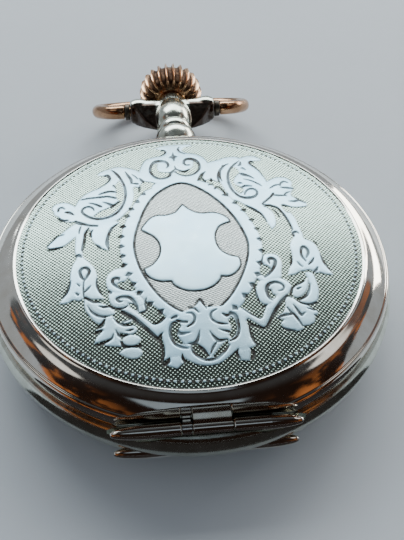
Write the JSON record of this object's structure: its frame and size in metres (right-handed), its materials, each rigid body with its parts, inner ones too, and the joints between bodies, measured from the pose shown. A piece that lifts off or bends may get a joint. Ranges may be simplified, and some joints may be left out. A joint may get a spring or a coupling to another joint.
{
  "type": "pocket watch",
  "caption": "Open-face pocket watch in a silver case with an engraved domed hinged back, fluted gold crown, swivelling bow and complete hand-wound movement.",
  "frame": {"origin": "centre of the crystal's flat outer face, which rests on the table", "axes": "+Z from the crystal to the engraved back cover, +Y from the case centre to the crown, +X to the right when the back is read with the crown up; the case hinges are at -Y"},
  "size_m": [0.0516, 0.0756, 0.0133],
  "materials": {
    "silver": "polished, hand engraved, lightly worn",
    "rose_gold": "polished rose gold plate, darkened in the flutes",
    "gilt_brass": "matt gilt",
    "nickel": "grained nickel",
    "polished_steel": "polished",
    "dark_steel": "oxidised",
    "blued_steel": "heat blued and polished",
    "enamel": "glossy white enamel",
    "crystal_glass": "polished",
    "ruby": "polished"
  },
  "bodies": {
    "case": {"case_band": "silver", "back_hinge_tube_left": "silver", "back_hinge_tube_right": "silver", "back_hinge_pin": "polished_steel", "bezel_hinge_tube_left": "silver", "bezel_hinge_tube_right": "silver", "bezel_hinge_pin": "polished_steel", "pendant": "silver", "bow_collar_left": "dark_steel", "bow_collar_right": "dark_steel", "main_plate": "nickel", "case_screw_left": "blued_steel", "case_screw_right": "blued_steel", "barrel_bridge": "nickel", "barrel_bridge_screw_left": "blued_steel", "barrel_bridge_screw_right": "blued_steel", "train_bridge": "nickel", "train_bridge_screw_upper": "blued_steel", "train_bridge_screw_lower": "blued_steel", "balance_cock": "nickel", "balance_cock_screw": "blued_steel", "balance_jewel": "ruby", "crown_wheel_screw": "blued_steel", "click_spring": "blued_steel", "dial": "enamel"},
    "back_cover": {"back_cover": "silver"},
    "cuvette": {"cuvette": "silver"},
    "bezel": {"bezel": "silver", "crystal": "crystal_glass"},
    "bow": {"bow": "rose_gold"},
    "winding_pinion": {"winding_pinion": "polished_steel"},
    "crown": {"crown": "rose_gold", "winding_stem": "polished_steel"},
    "sliding_pinion": {"sliding_pinion": "polished_steel"},
    "setting_lever": {"setting_lever": "polished_steel"},
    "crown_wheel": {"crown_wheel": "polished_steel"},
    "ratchet": {"ratchet_wheel": "polished_steel", "ratchet_screw": "blued_steel", "barrel_arbor": "polished_steel"},
    "click": {"click": "polished_steel"},
    "barrel": {"barrel_drum": "gilt_brass", "barrel_cover": "gilt_brass", "mainspring": "blued_steel"},
    "centre_train": {"centre_wheel": "gilt_brass", "cannon_pinion": "polished_steel", "minute_hand": "blued_steel"},
    "minute_work": {"minute_wheel": "gilt_brass"},
    "hour_train": {"hour_wheel": "gilt_brass", "hour_hand": "blued_steel"},
    "third_train": {"third_wheel": "gilt_brass"},
    "fourth_train": {"fourth_wheel": "gilt_brass", "seconds_hand": "blued_steel"},
    "escape": {"escape_wheel": "polished_steel"},
    "pallets": {"pallet_fork": "polished_steel"},
    "balance": {"balance_wheel": "gilt_brass", "balance_staff": "polished_steel", "hairspring": "blued_steel"},
    "regulator": {"regulator": "polished_steel"}
  },
  "joints": [
    {"name": "back_cover_hinge", "type": "hinge", "parent": "case", "child": "back_cover", "pos_m": [0, -0.024, 0.009], "axis": [1, 0, 0], "range_deg": [0, 100]},
    {"name": "cuvette_hinge", "type": "hinge", "parent": "case", "child": "cuvette", "pos_m": [0, -0.024, 0.009], "axis": [1, 0, 0], "range_deg": [0, 92]},
    {"name": "bezel_hinge", "type": "hinge", "parent": "case", "child": "bezel", "pos_m": [0, -0.024, 0.0048], "axis": [-1, 0, 0], "range_deg": [0, 100]},
    {"name": "bow_swivel", "type": "hinge", "parent": "case", "child": "bow", "pos_m": [0, 0.0377, 0.0072], "axis": [1, 0, 0], "range_deg": [-90, 145]},
    {"name": "crown_turn", "type": "hinge", "parent": "case", "child": "winding_pinion", "pos_m": [0, 0.0158, 0.0072], "axis": [0, 1, 0], "continuous": true},
    {"name": "crown_pull", "type": "slide", "parent": "winding_pinion", "child": "crown", "axis": [0, 1, 0], "range_m": [0, 0.001]},
    {"name": "sliding_pinion_travel", "type": "slide", "parent": "winding_pinion", "child": "sliding_pinion", "axis": [0, -1, 0], "range_m": [0, 0.0007]},
    {"name": "setting_lever_swing", "type": "hinge", "parent": "case", "child": "setting_lever", "pos_m": [0.0046, 0.0162, 0.00585], "axis": [0, 0, 1], "range_deg": [-9, 0]},
    {"name": "crown_wheel_turn", "type": "hinge", "parent": "case", "child": "crown_wheel", "pos_m": [0, 0.0115, 0.0092], "axis": [0, 0, 1], "continuous": true},
    {"name": "ratchet_turn", "type": "hinge", "parent": "case", "child": "ratchet", "pos_m": [-0.00909, 0.00549, 0.0092], "axis": [0, 0, 1], "continuous": true},
    {"name": "click_lift", "type": "hinge", "parent": "case", "child": "click", "pos_m": [-0.01053, 0.01366, 0.0092], "axis": [0, 0, 1], "range_deg": [0, 8]},
    {"name": "barrel_turn", "type": "hinge", "parent": "case", "child": "barrel", "pos_m": [-0.00909, 0.00549, 0.006], "axis": [0, 0, 1], "continuous": true},
    {"name": "centre_turn", "type": "hinge", "parent": "case", "child": "centre_train", "pos_m": [0, 0, 0.006], "axis": [0, 0, 1], "continuous": true},
    {"name": "minute_work_turn", "type": "hinge", "parent": "case", "child": "minute_work", "pos_m": [0.00339, 0.00339, 0.0042], "axis": [0, 0, 1], "continuous": true},
    {"name": "hour_turn", "type": "hinge", "parent": "case", "child": "hour_train", "pos_m": [0, 0, 0.0037], "axis": [0, 0, 1], "continuous": true},
    {"name": "third_turn", "type": "hinge", "parent": "case", "child": "third_train", "pos_m": [0.00506, -0.00512, 0.007], "axis": [0, 0, 1], "continuous": true},
    {"name": "fourth_turn", "type": "hinge", "parent": "case", "child": "fourth_train", "pos_m": [0, -0.009, 0.006], "axis": [0, 0, 1], "continuous": true},
    {"name": "escape_turn", "type": "hinge", "parent": "case", "child": "escape", "pos_m": [-0.00383, -0.01324, 0.0068], "axis": [0, 0, 1], "continuous": true},
    {"name": "balance_swing", "type": "hinge", "parent": "case", "child": "balance", "pos_m": [-0.0102, -0.0096, 0.0076], "axis": [0, 0, 1], "range_deg": [-270, 270]},
    {"name": "pallet_rock", "type": "hinge", "parent": "case", "child": "pallets", "pos_m": [-0.00695, -0.01146, 0.0068], "axis": [0, 0, 1], "range_deg": [-6, 6]},
    {"name": "regulator_move", "type": "hinge", "parent": "case", "child": "regulator", "pos_m": [-0.0102, -0.0096, 0.00905], "axis": [0, 0, 1], "range_deg": [-12, 12]}
  ],
  "couplings": [
    {"joint": "cuvette_hinge", "follows": "back_cover_hinge", "ratio": 0.9},
    {"joint": "sliding_pinion_travel", "follows": "crown_pull", "ratio": 0.7},
    {"joint": "setting_lever_swing", "follows": "crown_pull", "rad_per_m": -150},
    {"joint": "crown_wheel_turn", "follows": "crown_turn", "ratio": 0.4},
    {"joint": "ratchet_turn", "follows": "crown_turn", "ratio": -0.25},
    {"joint": "third_turn", "follows": "fourth_turn", "ratio": -0.13333},
    {"joint": "centre_turn", "follows": "fourth_turn", "ratio": 0.016667},
    {"joint": "barrel_turn", "follows": "fourth_turn", "ratio": -0.0027778},
    {"joint": "minute_work_turn", "follows": "fourth_turn", "ratio": -0.0055556},
    {"joint": "hour_turn", "follows": "fourth_turn", "ratio": 0.0013889},
    {"joint": "escape_turn", "follows": "fourth_turn", "ratio": -10},
    {"joint": "pallet_rock", "follows": "balance_swing", "ratio": -0.016}
  ]
}
